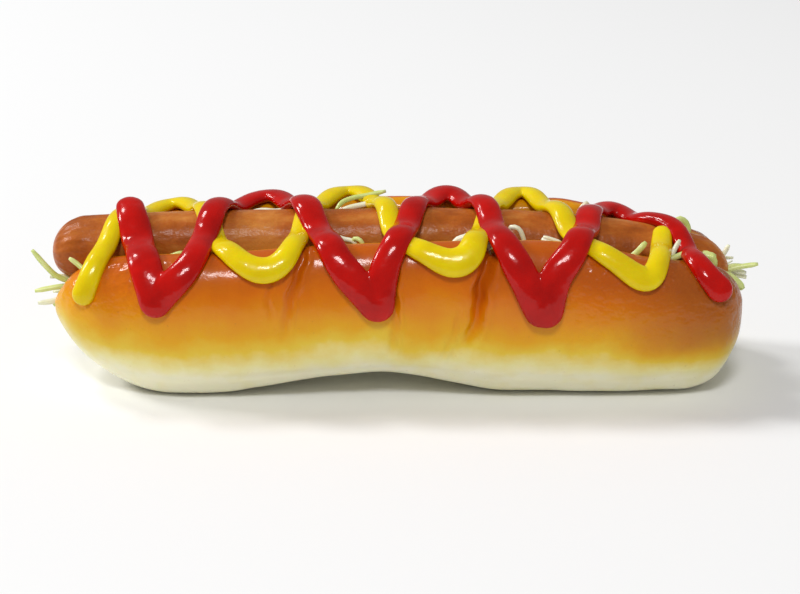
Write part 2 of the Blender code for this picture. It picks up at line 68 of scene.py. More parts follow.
# Shares of the way round a wall: to the widest point, to the flat base, over the lip.
SHOULDER_TURN = 0.5
CORNER_TURN = 0.85
ROUND_LIP_TURN = 0.3
ARCH_MIDDLE = -8.0
ARCH_LEFT_LENGTH = 52.0
ARCH_RIGHT_LENGTH = 42.0
ARCH_HEIGHT = 6.4
LEFT_LIFT_START = -70.0
LEFT_LIFT = 17.5
LEFT_LIFT_POWER = 2.3
RIGHT_LIFT_START = 84.0
RIGHT_LIFT = 11.0
RIGHT_LIFT_POWER = 2.6
# x, lean, depth, width, low z, high z, height of the ridge beside it
CREASES = (
    (-38.2, 0.02, 0.6, 0.8, 25.0, 45.0, 0.45),
    (-32.0, 0.26, 1.5, 1.1, 20.0, 50.0, 0.75),
    (-1.6, 0.02, 1.6, 1.0, 14.0, 48.0, 0.65),
    (23.6, 0.22, 4.6, 1.7, 17.0, 58.0, 0.80),
    (18.6, 0.30, 0.9, 0.7, 10.0, 33.0, 0.50),
    (51.0, 0.05, 0.6, 0.8, 13.0, 24.0, 0.20),
    (-51.0, -0.40, 0.3, 0.7, 18.0, 25.0, 0.15),
)
CREASE_LEAN_HEIGHT = 34.0
CREASE_FADE = 7.0
RIDGE_OFFSET = 1.9      # from a crease's middle, and its spread, in crease widths
RIDGE_SPREAD = 0.65
REAR_FOLDS = (-34.0, 4.0, 27.0)
REAR_FOLD_DEPTH = 0.9
REAR_FOLD_WIDTH = 2.6
SEAM_HEIGHT = 8.2

# ---- sausage ----
SAUSAGE_RADIUS = 9.7
SAUSAGE_LEFT = -106.2
SAUSAGE_RIGHT = 101.2
SAUSAGE_HEIGHT = ((-106, 39.4), (-92, 40.8), (-60, 41.7), (-15, 42.4), (2, 43.0),
                  (38, 41.7), (62, 39.8), (78, 37.4), (90, 34.6), (102, 31.6))
SAUSAGE_SIDE_STEP = ((-106, -1.0), (-50, 0.5), (0, 0.0), (50, 0.6), (102, -0.8))

# ---- sauces: routes as (x, reach over the surface from the crest, width share) ----
STRAND_SAG = 3.2
STRAND_SINK = 0.25      # how far a strand's underside bites into what it lies on
CROSSING_REACH = 8.5
CENTRE_SMOOTHING = 14
NORMAL_SMOOTHING = 40
MUSTARD_WIDTH = 6.8
MUSTARD_HEIGHT = 4.4
MUSTARD_SQUASH = 0.45
KETCHUP_WIDTH = 8.8
KETCHUP_HEIGHT = 4.4
KETCHUP_LIFT = 1.4
CHART_PITCH = 1.5
MUSTARD_VOXEL = 0.36
KETCHUP_VOXEL = 0.42
RIM_HEIGHT = 1.5        # below this a strand's edge takes its rim colour
MUSTARD_ROUTE = (
    (-93.6, -29.0, 1.05), (-91.0, -23.5, 1.0), (-88.2, -15.0, 0.95), (-84.7, -1.0, 0.95),
    (-80.0, 12.0, 1.0), (-71.5, 23.0, 1.15), (-63.0, 12.0, 1.0), (-59.5, 1.0, 1.0),
    (-56.3, -10.5, 1.05), (-52.5, -20.0, 1.05), (-46.5, -27.0, 1.1), (-39.5, -29.8, 1.2),
    (-34.5, -27.5, 1.1), (-31.3, -21.0, 1.0), (-28.6, -3.0, 0.95), (-24.0, 13.0, 1.0),
    (-15.8, 23.0, 1.1), (-8.5, 13.0, 1.0), (-4.5, 0.0, 1.0), (-1.6, -14.0, 1.0),
    (1.6, -21.5, 1.0), (8.5, -26.0, 1.1), (16.0, -29.0, 1.3), (20.3, -27.0, 1.3),
    (22.4, -21.0, 1.1), (26.3, -4.0, 0.95), (30.5, 11.0, 1.0), (38.5, 23.0, 1.05),
    (44.5, 11.0, 1.0), (49.0, -2.0, 1.05), (52.0, -14.5, 1.0), (55.5, -22.0, 1.0),
    (63.8, -26.5, 1.0), (72.5, -29.6, 1.15), (75.8, -24.5, 1.0),
    (78.4, -12.5, 0.95), (79.4, -5.5, 0.9),
)
KETCHUP_ROUTES = (
    ((-82.0, -0.5, 1.0), (-79.6, -9.0, 1.12), (-76.6, -20.3, 1.12), (-71.6, -36.2, 1.15)),
    ((-71.6, -36.2, 1.15), (-61.5, -26.8, 0.95), (-58.6, -14.5, 0.9), (-55.5, 0.0, 0.95),
     (-50.0, 14.0, 0.9), (-41.0, 21.0, 0.95), (-33.0, 10.0, 0.95), (-27.8, -3.0, 1.0),
     (-23.4, -14.5, 0.95), (-18.5, -26.5, 1.05), (-7.0, -40.0, 1.1)),
    ((-6.4, -40.0, 1.1), (-4.0, -28.0, 1.0), (-0.4, -21.5, 0.95), (3.0, -6.8, 0.95),
     (6.8, 7.0, 0.9), (14.8, 19.0, 1.0), (21.5, 9.0, 0.9), (26.2, -3.0, 0.9),
     (29.5, -20.0, 0.95), (33.8, -29.0, 1.05), (41.3, -42.8, 1.15)),
    ((42.9, -43.0, 1.15), (45.4, -33.0, 1.1), (51.2, -25.0, 1.0), (55.0, -14.0, 0.95),
     (57.6, -1.0, 0.95), (61.2, 11.0, 0.95), (66.6, 17.0, 1.05), (71.8, 12.5, 0.9),
     (75.6, 5.0, 0.8), (79.4, 2.0, 0.75), (83.2, -2.0, 0.75), (85.9, -9.0, 0.75),
     (88.1, -19.5, 0.8), (91.0, -24.0, 0.85), (94.2, -26.0, 0.9)),
)

# ---------------------------------------------------------------- shape helpers
def along(stations, x):
    """Smooth size at x through (x, size) stations, constant past the two ends."""
    if x <= stations[0][0]:
        return stations[0][1]
    if x >= stations[-1][0]:
        return stations[-1][1]
    last = len(stations) - 2
    index = next(i for i in range(last + 1) if x <= stations[i + 1][0])
    slopes = [(b[1] - a[1]) / (b[0] - a[0]) for a, b in zip(stations, stations[1:])]

    def tangent(station):
        before = slopes[max(station - 1, 0)]
        after = slopes[min(station, last)]
        if before * after <= 0.0:
            return 0.0
        return 2.0 * before * after / (before + after)

    x0, low = stations[index]
    x1, high = stations[index + 1]
    step = x1 - x0
    t = (x - x0) / step
    return (low * (2 * t**3 - 3 * t**2 + 1) + high * (3 * t**2 - 2 * t**3)
            + tangent(index) * step * (t**3 - 2 * t**2 + t)
            + tangent(index + 1) * step * (t**3 - t**2))


def ease(low, high, value):
    """Smooth 0 to 1 as value goes from low to high."""
    t = min(max((value - low) / (high - low), 0.0), 1.0)
    return t * t * (3 - 2 * t)


def wobble(x, y, z, size):
    """Smooth noise from -1 to 1 with lumps about size across."""
    return noise.noise(Vector((x / size, y / size, z / size)))


def quarter(centre, reach, turn, power=2.0):
    """Point on a quarter of a superellipse, from its side (turn 0) to its top (1)."""
    angle = turn * math.pi / 2
    across = max(math.cos(angle), 0.0) ** (2 / power)
    up = max(math.sin(angle), 0.0) ** (2 / power)
    return centre[0] + reach[0] * across, centre[1] + reach[1] * up


def make_object(name, verts, faces, smooth=True):
    """A mesh object in metres from vertices in millimetres."""
    mesh = bpy.data.meshes.new(name)
    mesh.from_pydata([(x * MM, (y + BACK_STEP) * MM, z * MM) for x, y, z in verts], [], faces)
    mesh.validate()
    if smooth:
        mesh.shade_smooth()
    item = bpy.data.objects.new(name, mesh)
    bpy.context.scene.collection.objects.link(item)
    return item


def face_outward(item):
    bm = bmesh.new()
    bm.from_mesh(item.data)
    bmesh.ops.remove_doubles(bm, verts=bm.verts, dist=1e-7)
    bmesh.ops.recalc_face_normals(bm, faces=bm.faces)
    bm.to_mesh(item.data)
    bm.free()


def ring_faces(ring_count, ring_size):
    faces = []
    for r in range(ring_count - 1):
        for i in range(ring_size):
            j = (i + 1) % ring_size
            a = r * ring_size
            b = a + ring_size
            faces.append((a + i, a + j, b + j, b + i))
    return faces


def paint(item, name, values):
    """Store one number per vertex for a material to read."""
    layer = item.data.attributes.new(name, "FLOAT", "POINT")
    layer.data.foreach_set("value", values)


# ---------------------------------------------------------------- roll
def underside(x):
    half_length = ARCH_LEFT_LENGTH if x < ARCH_MIDDLE else ARCH_RIGHT_LENGTH
    t = min(abs(x - ARCH_MIDDLE) / half_length, 1.0)
    height = ARCH_HEIGHT * (1 - t * t) ** 2
    if x < LEFT_LIFT_START:
        part = (LEFT_LIFT_START - x) / (LEFT_LIFT_START - ROLL_LEFT)
        height += LEFT_LIFT * part**LEFT_LIFT_POWER
    if x > RIGHT_LIFT_START:
        part = (x - RIGHT_LIFT_START) / (ROLL_RIGHT - RIGHT_LIFT_START)
        height += RIGHT_LIFT * part**RIGHT_LIFT_POWER
    return height


def crease_at(x, z):
    """(depth pressed in, ridge raised beside it) of the front wall's creases."""
    depth = 0.0
    ridge = 0.0
    for middle, lean, deep, width, low, high, height in CREASES:
        bend = 0.5 * math.sin(z * 0.34 + middle) + 0.25 * math.sin(z * 0.9 + 2 * middle)
        off = (x - middle - lean * (z - CREASE_LEAN_HEIGHT) - bend) / width
        fade = ease(low, low + CREASE_FADE, z) * ease(high, high - CREASE_FADE, z)
        broken = 0.75 + 0.45 * wobble(middle, 0, z, 4.0)
        depth += deep * fade * (0.45 + 0.55 * ease(18, 42, z)) * math.exp(-off * off)
        ridge += height * fade * broken * math.exp(-((off - RIDGE_OFFSET) / RIDGE_SPREAD) ** 2)
        ridge += 0.5 * height * fade * broken * math.exp(-((off + RIDGE_OFFSET) / RIDGE_SPREAD) ** 2)
    return depth, ridge


class RollSection:
    """The roll's sizes at one x, and points round its section."""

    def __init__(self, x):
        self.x = x
        self.width = along(HALF_WIDTH, x)
        self.lip = along(LIP_REACH, x)
        self.top = {-1: along(FRONT_LIP_TOP, x), 1: along(REAR_LIP_TOP, x)}
        self.widest = along(WIDEST_HEIGHT, x)
        self.flat = along(FLAT_HALF_WIDTH, x)
        self.low = underside(x)
        self.floor = along(SLOT_FLOOR, x)

    def outer(self, side, turn):
        if turn <= SHOULDER_TURN:
            return quarter((self.lip, self.widest),
                           (self.width - self.lip, self.top[side] - self.widest),
                           1 - turn / SHOULDER_TURN, SHOULDER_POWER)
        if turn <= CORNER_TURN:
            return quarter((self.flat, self.widest),
                           (self.width - self.flat, self.low - self.widest),
                           (turn - SHOULDER_TURN) / (CORNER_TURN - SHOULDER_TURN))
        return self.flat * (1 - turn) / (1 - CORNER_TURN), self.low

    def inner(self, side, turn):
        wall_top = self.top[side] - LIP_ROUNDING
        if turn <= ROUND_LIP_TURN:
            return quarter((self.lip, wall_top), (-LIP_ROUNDING, LIP_ROUNDING),
                           1 - turn / ROUND_LIP_TURN)
        return quarter((0, wall_top), (self.lip - LIP_ROUNDING, self.floor - wall_top),
                       (turn - ROUND_LIP_TURN) / (1 - ROUND_LIP_TURN))


def blistered(x, z):
    """How wrinkled the crust is: mostly the right half and the left shoulder."""
    right = ease(36, 60, x) * ease(12, 24, z)
    left = ease(-60, -74, x) * ease(24, 33, z)
    return 0.12 + 0.88 * max(right, left)


def crust_relief(x, side, y, z):
    """(outward swelling, depth pressed in) of the crust at a point."""
    relief = 0.55 * wobble(x, side * y, z, 26.0) + 0.24 * wobble(x + 90, side * y, z, 9.0)
    depth, ridge = crease_at(x, z) if side < 0 else (0.0, 0.0)
    relief += ridge
    if side > 0:
        for middle in REAR_FOLDS:
            fold = math.exp(-((x - middle) / REAR_FOLD_WIDTH) ** 2)
            relief -= REAR_FOLD_DEPTH * fold * ease(18, 34, z)
    seam = SEAM_HEIGHT + 0.9 * wobble(x, 5, side, 17.0) + 0.4 * underside(x) * (abs(x - 10) < 60)
    relief -= 0.35 * math.exp(-((z - seam) / 0.5) ** 2) * ease(-92, -80, x) * ease(99, 88, x)
    blister = blistered(x, z)
    relief += blister * (0.13 * abs(wobble(x * 0.7, side * y, z, 2.4)) - 0.04)
    relief += blister * 0.06 * wobble(x * 0.8, side * y, z, 1.2)
    return relief, depth


def build_roll(stations=440, outer_count=72, inner_count=24):
    rows = []
    for i in range(stations + 1):
        x = ROLL_LEFT + (ROLL_RIGHT - ROLL_LEFT) * i / stations
        to_end = min(x - ROLL_LEFT, ROLL_RIGHT - x) / END_ROUNDING
        share = 1.0 if to_end >= 1 else math.sqrt(max(1 - (1 - to_end) ** 2, 0.0))
        rows.append((x, max(share, LEAST_THICKNESS)))
    for end, sign in ((ROLL_LEFT, 1), (ROLL_RIGHT, -1)):
        for k in range(1, 6):
            angle = math.radians(4 * k)
            rows.append((end + sign * END_ROUNDING * (1 - math.cos(angle)), math.sin(angle)))
    rows.sort()
    verts = []
    bake_and_crease_shade = []
    crumb = []
    toast = []
    blister = []
    for x, thickness in rows:
        section = RollSection(x)
        outer = []
        inner = []
        for side in (-1, 1):
            cap = section.top[side] - LIP_ROUNDING

            def both(turn):
                oy, oz = section.outer(side, turn)
                iy, iz = section.inner(side, turn)
                return (oy, oz), (iy, iz), ((oy + iy) / 2, min((oz + iz) / 2, cap))

            half = []
            for i in range(outer_count + 1):
                turn = i / outer_count
                (oy, oz), _, (my, mz) = both(turn)
                oy, oz = my + (oy - my) * thickness, mz + (oz - mz) * thickness
                away = math.hypot(oy - my, oz - mz) or 1.0
                relief, depth = crust_relief(x, side, oy, oz)
                on_base = ease(0.86, 0.8, turn) * thickness
                push = (relief * ease(0.0, 0.06, turn) - depth) * on_base
                ny, nz = (oy - my) / away, (oz - mz) / away
                oy += ny * push
                oz = max(oz + nz * push, 0.0)
                half.append((side * oy, oz))
            outer.append(half)
            half = []
            for i in range(1, inner_count + 1):
                turn = i / inner_count
                _, (iy, iz), (my, mz) = both(turn)
                iy, iz = my + (iy - my) * thickness, mz + (iz - mz) * thickness
                iy -= 0.35 * wobble(x, iy * side, iz, 5.0) * ease(0.0, 0.2, turn) * thickness
                if side < 0:
                    iz -= crease_at(x, iz)[0] * ease(0.35, 0.0, turn) * thickness
                half.append((side * iy, iz))
            inner.append(half)
        ring = outer[0] + outer[1][-2::-1]
        hidden_from = len(ring)
        ring += inner[1] + inner[0][-2::-1]
        for i, (y, z) in enumerate(ring):
            verts.append((x, y, z))
            inside = i >= hidden_from
            # The front wall's creases are coloured browner by their depth: painted shade in the
            # folds, added on top of the crust's baking colour.
            fold = crease_at(x, z)[0] if y < 0 else 0.0
            bake_and_crease_shade.append(0.5 if inside else browning(x, y, z) + 0.08 * fold)
            crumb.append(ease(3.0, 9.0, min(section.top.values()) - z) if inside else 0.0)
            toast.append(ease(52, 98, x) * ease(8, 24, z))
            blister.append(blistered(x, z))
    size = len(verts) // len(rows)
    faces = ring_faces(len(rows), size)
    faces.append(tuple(range(size)))
    faces.append(tuple((len(rows) - 1) * size + i for i in range(size)))
    roll = make_object("roll", verts, faces)
    paint(roll, "bake_and_crease_shade", bake_and_crease_shade)
    paint(roll, "crumb", crumb)
    paint(roll, "toast", toast)
    paint(roll, "blister", blister)
    face_outward(roll)
    return roll


def browning(x, y, z):
    """0 on the pale sides and base to 1 on the browned top of the crust."""
    level = z - 0.35 * underside(x)
    start = 8.5 + 1.6 * wobble(x, y, 0, 18.0) - 2.5 * ease(60, 100, x)
    value = (level - start) / 33.0
    value += 0.13 * ease(30, 98, x) * ease(8, 20, z) + 0.05 * wobble(x, y, z, 12.0)
    return min(max(value, 0.0), 1.0)


# ---------------------------------------------------------------- sausage
def sausage_centre(x):
    return along(SAUSAGE_SIDE_STEP, x), along(SAUSAGE_HEIGHT, x)


def build_sausage(stations=360, sides=110):
    rows = []
    radius = SAUSAGE_RADIUS
    for end, sign in ((SAUSAGE_LEFT, 1), (SAUSAGE_RIGHT, -1)):
        for k in range(1, 26):
            angle = math.radians(90 * k / 26)
            rows.append((end + sign * radius * (1 - math.cos(angle)), math.sin(angle) ** 0.92))
    first = SAUSAGE_LEFT + radius
    length = SAUSAGE_RIGHT - SAUSAGE_LEFT - 2 * radius
    rows += [(first + length * i / stations, 1.0) for i in range(stations + 1)]
    rows.sort()
    verts = []
    for x, share in rows:
        y0, z0 = sausage_centre(x)
        for k in range(sides):
            angle = 2 * math.pi * k / sides
            sy, sz = math.sin(angle), math.cos(angle)
            reach = radius * share
            reach += 0.28 * wobble(x, sy * 9, sz * 9, 17.0) + 0.10 * wobble(x, sy * 9, sz * 9, 4.0)
            to_left = max(1 - (x - SAUSAGE_LEFT) / 26.0, 0.0)
            to_right = max(1 - (SAUSAGE_RIGHT - x) / 20.0, 0.0)
            wrinkle = math.sin(angle * 17 + 2.2 * wobble(x, sy * 9, sz * 9, 8.0))
            reach += 0.16 * wrinkle * (to_left + 0.8 * to_right) * share
            reach += 0.05 * wobble(x * 0.35, sy * 9, sz * 9, 1.3) * share
            verts.append((x, y0 + reach * sy, z0 + reach * sz))
    faces = ring_faces(len(rows), sides)
    for base, end in ((0, SAUSAGE_LEFT), ((len(rows) - 1) * sides, SAUSAGE_RIGHT)):
        y0, z0 = sausage_centre(end)
        verts.append((end, y0, z0))
        tip = len(verts) - 1
        faces += [(base + i, base + (i + 1) % sides, tip) for i in range(sides)]
    sausage = make_object("sausage_link", verts, faces)
    face_outward(sausage)
    return sausage


# ---------------------------------------------------------------- sauces
def drape_line(x, count=40):
    """Outline (y, z, on the sausage) that a strand laid over the hot dog hangs on."""
    y0, z0 = sausage_centre(x)
    section = RollSection(min(max(x, ROLL_LEFT + 3), ROLL_RIGHT - 3))
    points = []
    for side in (-1, 1):
        for i in range(count + 1):
            y, z = section.outer(side, 0.5 * i / count)
            points.append((side * y, z, False))
    for i in range(count + 1):
        angle = math.pi * i / count
        points.append((y0 - SAUSAGE_RADIUS * math.cos(angle),
                       z0 + SAUSAGE_RADIUS * math.sin(angle), True))
    hull = []
    for point in sorted(points):
        while len(hull) > 1:
            (ay, az, _), (by, bz, _) = hull[-2], hull[-1]
            if (by - ay) * (point[1] - az) - (bz - az) * (point[0] - ay) < 0:
                break
            hull.pop()
        hull.append(point)
    return hull


def sag(distance, length):
    over_sausage = distance**2 / (2 * SAUSAGE_RADIUS)
    over_lip = (length - distance) ** 2 / (2 * LIP_TOP_RADIUS)
    limits = (STRAND_SAG, over_sausage, over_lip)
    return sum(1 / max(limit, 1e-3) ** 2 for limit in limits) ** -0.5


def on_drape(x, reach):
    """Place and outward direction (y, z pairs) at a distance from the crest."""
    line = drape_line(x)
    lengths = [0.0]
    for a, b in zip(line, line[1:]):
        lengths.append(lengths[-1] + math.dist(a[:2], b[:2]))
    crest = max(range(len(line)), key=lambda i: line[i][1] if line[i][2] else 0.0)
    goal = min(max(lengths[crest] + reach, 0.01), lengths[-1] - 0.01)
    index = next(i for i in range(len(line) - 1) if lengths[i + 1] >= goal)
    (ay, az, a_on), (by, bz, b_on) = line[index], line[index + 1]
    length = lengths[index + 1] - lengths[index]
    walked = goal - lengths[index]
    out = (-(bz - az) / length, (by - ay) / length)
    sink = 0.0
    if a_on != b_on:
        sink = sag(walked if a_on else length - walked, length)
    y = ay + (by - ay) * walked / length - out[0] * sink
    z = az + (bz - az) * walked / length - out[1] * sink
    return (y, z), out


def curve_through(points, pitch):
    """Evenly spaced points on a centripetal Catmull-Rom curve through the given ones."""
    spots = [Vector(p) for p in points]
    spots = [spots[0] * 2 - spots[1]] + spots + [spots[-1] * 2 - spots[-2]]
    fine = []
    for p0, p1, p2, p3 in zip(spots, spots[1:], spots[2:], spots[3:]):
        t1 = (p1 - p0).length ** 0.5
        t2 = t1 + (p2 - p1).length ** 0.5
        t3 = t2 + (p3 - p2).length ** 0.5
        for k in range(24):
            t = t1 + (t2 - t1) * k / 24
            a1 = p0 * ((t1 - t) / t1) + p1 * (t / t1)
            a2 = p1 * ((t2 - t) / (t2 - t1)) + p2 * ((t - t1) / (t2 - t1))
            a3 = p2 * ((t3 - t) / (t3 - t2)) + p3 * ((t - t2) / (t3 - t2))
            b1 = a1 * ((t2 - t) / t2) + a2 * (t / t2)
            b2 = a2 * ((t3 - t) / (t3 - t1)) + a3 * ((t - t1) / (t3 - t1))
            fine.append(b1 * ((t2 - t) / (t2 - t1)) + b2 * ((t - t1) / (t2 - t1)))
    fine.append(spots[-2])
    total = sum((b - a).length for a, b in zip(fine, fine[1:]))
    steps = max(round(total / pitch), 2)
    even = [fine[0]]
    walked = 0.0
    for a, b in zip(fine, fine[1:]):
        length = (b - a).length
        while len(even) <= steps and length > 0 and walked + length >= total / steps * len(even):
            even.append(a + (b - a) * ((total / steps * len(even) - walked) / length))
        walked += length
    if len(even) <= steps:
        even.append(fine[-1])
    return even


def chart(route, pitch):
    return [Vector((spot.x, spot.y)) for spot in curve_through(route, pitch)]


def nearness(spot, others):
    gap = min((spot - other).length for other in others) / CROSSING_REACH
    return (1 - min(gap, 1.0) ** 2) ** 2


def strand_rings(route, width, height, crossed, lift, squash, sides=28, pitch=0.8):
    """Rings round a strand that lies on the hot dog: oval, flatter underneath."""
    spots = curve_through(route, pitch)
    centres = []
    for spot in spots:
        (y, z), (ny, nz) = on_drape(spot.x, spot.y)
        near = nearness(Vector((spot.x, spot.y)), crossed)
        share = 1 - squash * near
        uneven = 1 + 0.06 * wobble(spot.x, spot.y, 3, 7.0)
        rise = height * share * 0.42 - STRAND_SINK + lift * near
        centres.append([Vector((spot.x, y + ny * rise, z + nz * rise)), Vector((0, ny, nz)),
                        height * share / 2 * uneven, width / 2 * spot.z * uneven])
    rings = []
    count = len(centres)
    for part, passes in ((0, CENTRE_SMOOTHING), (1, NORMAL_SMOOTHING)):
        for _ in range(passes):
            old = [centre[part].copy() for centre in centres]
            for i in range(1, count - 1):
                centres[i][part] = old[i] * 0.5 + (old[i - 1] + old[i + 1]) * 0.25
    for i, (centre, up, half_height, half_width) in enumerate(centres):
        ahead = centres[min(i + 2, count - 1)][0] - centres[max(i - 2, 0)][0]
        ahead.normalize()
        across = ahead.cross(up).normalized()
        lift_way = across.cross(ahead).normalized()
        ring = []
        for k in range(sides):
            angle = 2 * math.pi * k / sides
            side, rise = math.cos(angle), math.sin(angle)
            if rise < 0:
                side = math.copysign(abs(side) ** 0.75, side)
                rise *= 0.8
            ring.append(centre + across * (half_width * side) + lift_way * (half_height * rise))
        rings.append(ring)
    capped = []
    for index, inward in ((0, 1), (count - 1, count - 2)):
        centre, _, _, half_width = centres[index]
        outward = (centre - centres[inward][0]).normalized() * half_width
        caps = [[centre + (p - centre) * math.cos(a) + outward * math.sin(a) for p in rings[index]]
                for a in (math.radians(d) for d in (18, 36, 54, 70, 84))]
        capped.append(caps)
    return capped[0][::-1] + rings + capped[1]


def build_strand(name, ring_sets, voxel, smoothing):
    """One body from one or more tubes: joined, remeshed and smoothed."""
    bm = bmesh.new()
    for rings in ring_sets:
        made = [[bm.verts.new(p) for p in ring] for ring in rings]
        for ring, following in zip(made, made[1:]):
            for i in range(len(ring)):
                j = (i + 1) % len(ring)
                bm.faces.new((ring[i], ring[j], following[j], following[i]))
        bm.faces.new(made[0])
        bm.faces.new(made[-1])
    bmesh.ops.recalc_face_normals(bm, faces=bm.faces)
    bmesh.ops.translate(bm, vec=(0, BACK_STEP, 0), verts=bm.verts)
    bmesh.ops.scale(bm, vec=(MM, MM, MM), verts=bm.verts)
    mesh = bpy.data.meshes.new(name)
    bm.to_mesh(mesh)
    bm.free()
    item = bpy.data.objects.new(name, mesh)
    bpy.context.scene.collection.objects.link(item)
    remesh = item.modifiers.new("join", "REMESH")
    remesh.mode = "VOXEL"
    remesh.voxel_size = voxel * MM
    remesh.use_smooth_shade = True
    smooth = item.modifiers.new("soften", "SMOOTH")
    smooth.factor = 0.5
    smooth.iterations = smoothing
    apply_modifiers(item)
    return item


def apply_modifiers(item):
    graph = bpy.context.evaluated_depsgraph_get()
    mesh = bpy.data.meshes.new_from_object(item.evaluated_get(graph))
    item.modifiers.clear()
    old = item.data
    item.data = mesh
    mesh.name = old.name
    bpy.data.meshes.remove(old)
    item.data.shade_smooth()


def paint_rim(strand, below):
    """Mark where a strand is thin, close above what it lies on."""
    tree = BVHTree.FromPolygons(*below)
    near = []
    for vert in strand.data.vertices:
        _, _, _, distance = tree.find_nearest(vert.co)
        near.append(ease(RIM_HEIGHT, 0.2, distance / MM))
    paint(strand, "rim", near)


def triangles_of(items):
    verts = []
    faces = []
    for item in items:
        base = len(verts)
        verts.extend(v.co.copy() for v in item.data.vertices)
        faces.extend([base + i for i in face.vertices] for face in item.data.polygons)
    return verts, faces


def build_sauces():
    mustard_chart = chart(MUSTARD_ROUTE, CHART_PITCH)
    ketchup_chart = [spot for route in KETCHUP_ROUTES for spot in chart(route, CHART_PITCH)]
    mustard_tubes = [strand_rings(MUSTARD_ROUTE, MUSTARD_WIDTH, MUSTARD_HEIGHT,
                                  ketchup_chart, 0.0, MUSTARD_SQUASH)]
    ketchup_tubes = [strand_rings(route, KETCHUP_WIDTH, KETCHUP_HEIGHT,
                                  mustard_chart, KETCHUP_LIFT, 0.0) for route in KETCHUP_ROUTES]
    mustard = build_strand("mustard_strand", mustard_tubes, MUSTARD_VOXEL, 5)
    ketchup = build_strand("ketchup_strand", ketchup_tubes, KETCHUP_VOXEL, 7)
    return mustard, ketchup


# ---------------------------------------------------------------- lettuce
CORE_END = 104.0
CORE_BELOW_LIP = 6.5
CORE_GAP = 0.2
SHRED_PITCH = 1.1
SHRED_THICKNESS = 0.5
FAN_SHREDS = 10
FILL_SHREDS = 110
TOWARDS_VIEWER = Vector((0, -0.9, 0.4))


def build_core(stations=260, half_count=14, crown_count=26):
    """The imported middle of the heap, under the loose shreds."""
    verts = []
    for s in range(stations + 1):
        x = -CORE_END + 2 * CORE_END * s / stations
        section = RollSection(min(max(x, ROLL_LEFT), ROLL_RIGHT))
        shrink = math.sqrt(max(1 - max((abs(x) - CORE_END + 6) / 6, 0) ** 2, 0.02))
        middle = (section.floor + min(section.top.values())) / 2 - 2
        half = {}
        for side in (-1, 1):
            wall_top = section.top[side] - LIP_ROUNDING
            level = section.top[side] - CORE_BELOW_LIP - 0.8 + 0.9 * wobble(x, side * 7, 0, 6.0)
            drop = math.acos(min(max((wall_top - level) / (wall_top - section.floor), 0), 1))
            drop /= math.pi / 2
            half[side] = []
            for i in range(half_count + 1):
                y, z = quarter((0, wall_top), (section.lip - LIP_ROUNDING - CORE_GAP,
                                               section.floor + CORE_GAP - wall_top),
                               1 - drop + drop * i / half_count)
                half[side].append((side * y * shrink, middle + (z - middle) * shrink))
        ring = half[-1] + half[1][:-1][::-1]
        (ry, rz), (fy, fz) = half[1][0], half[-1][0]
        for k in range(1, crown_count):
            share = k / crown_count
            y = ry + (fy - ry) * share
            lump = 1.1 * abs(wobble(x, y, 11, 2.6)) + 0.6 * wobble(x, y, 3, 7.0)
            ring.append((y, rz + (fz - rz) * share + lump * shrink))
        verts += [(x, y, z) for y, z in ring]
    size = len(verts) // (stations + 1)
    faces = ring_faces(stations + 1, size)
    faces.append(tuple(range(size)))
    faces.append(tuple(stations * size + i for i in range(size)))
    core = make_object("lettuce_core", verts, faces)
    face_outward(core)
    return core


def ribbon(points, width, thickness, twist, lean):
    """Vertices and faces of one shred along smooth points."""
    spots = curve_through(points, SHRED_PITCH)
    verts = []
    count = len(spots)
    for i, spot in enumerate(spots):
        ahead = (spots[min(i + 1, count - 1)] - spots[max(i - 1, 0)]).normalized()
        side = ahead.cross(lean)
        side = side.normalized() if side.length > 1e-3 else Vector((0, 1, 0))
        up = side.cross(ahead).normalized()
        turned = Matrix.Rotation(twist * i / count, 3, ahead)
        taper = min(1.0, 0.6 + 3.0 * min(i, count - 1 - i) / count)
        half = turned @ side * (width / 2 * taper)
        rise = turned @ up * (thickness / 2)
        verts += [spot - half - rise * 0.4, spot - rise, spot + half - rise * 0.4,
                  spot + half + rise * 0.4, spot + rise, spot - half + rise * 0.4]
    faces = ring_faces(count, 6)
    faces += [tuple(range(5, -1, -1)), tuple((count - 1) * 6 + i for i in range(6))]
    return verts, faces


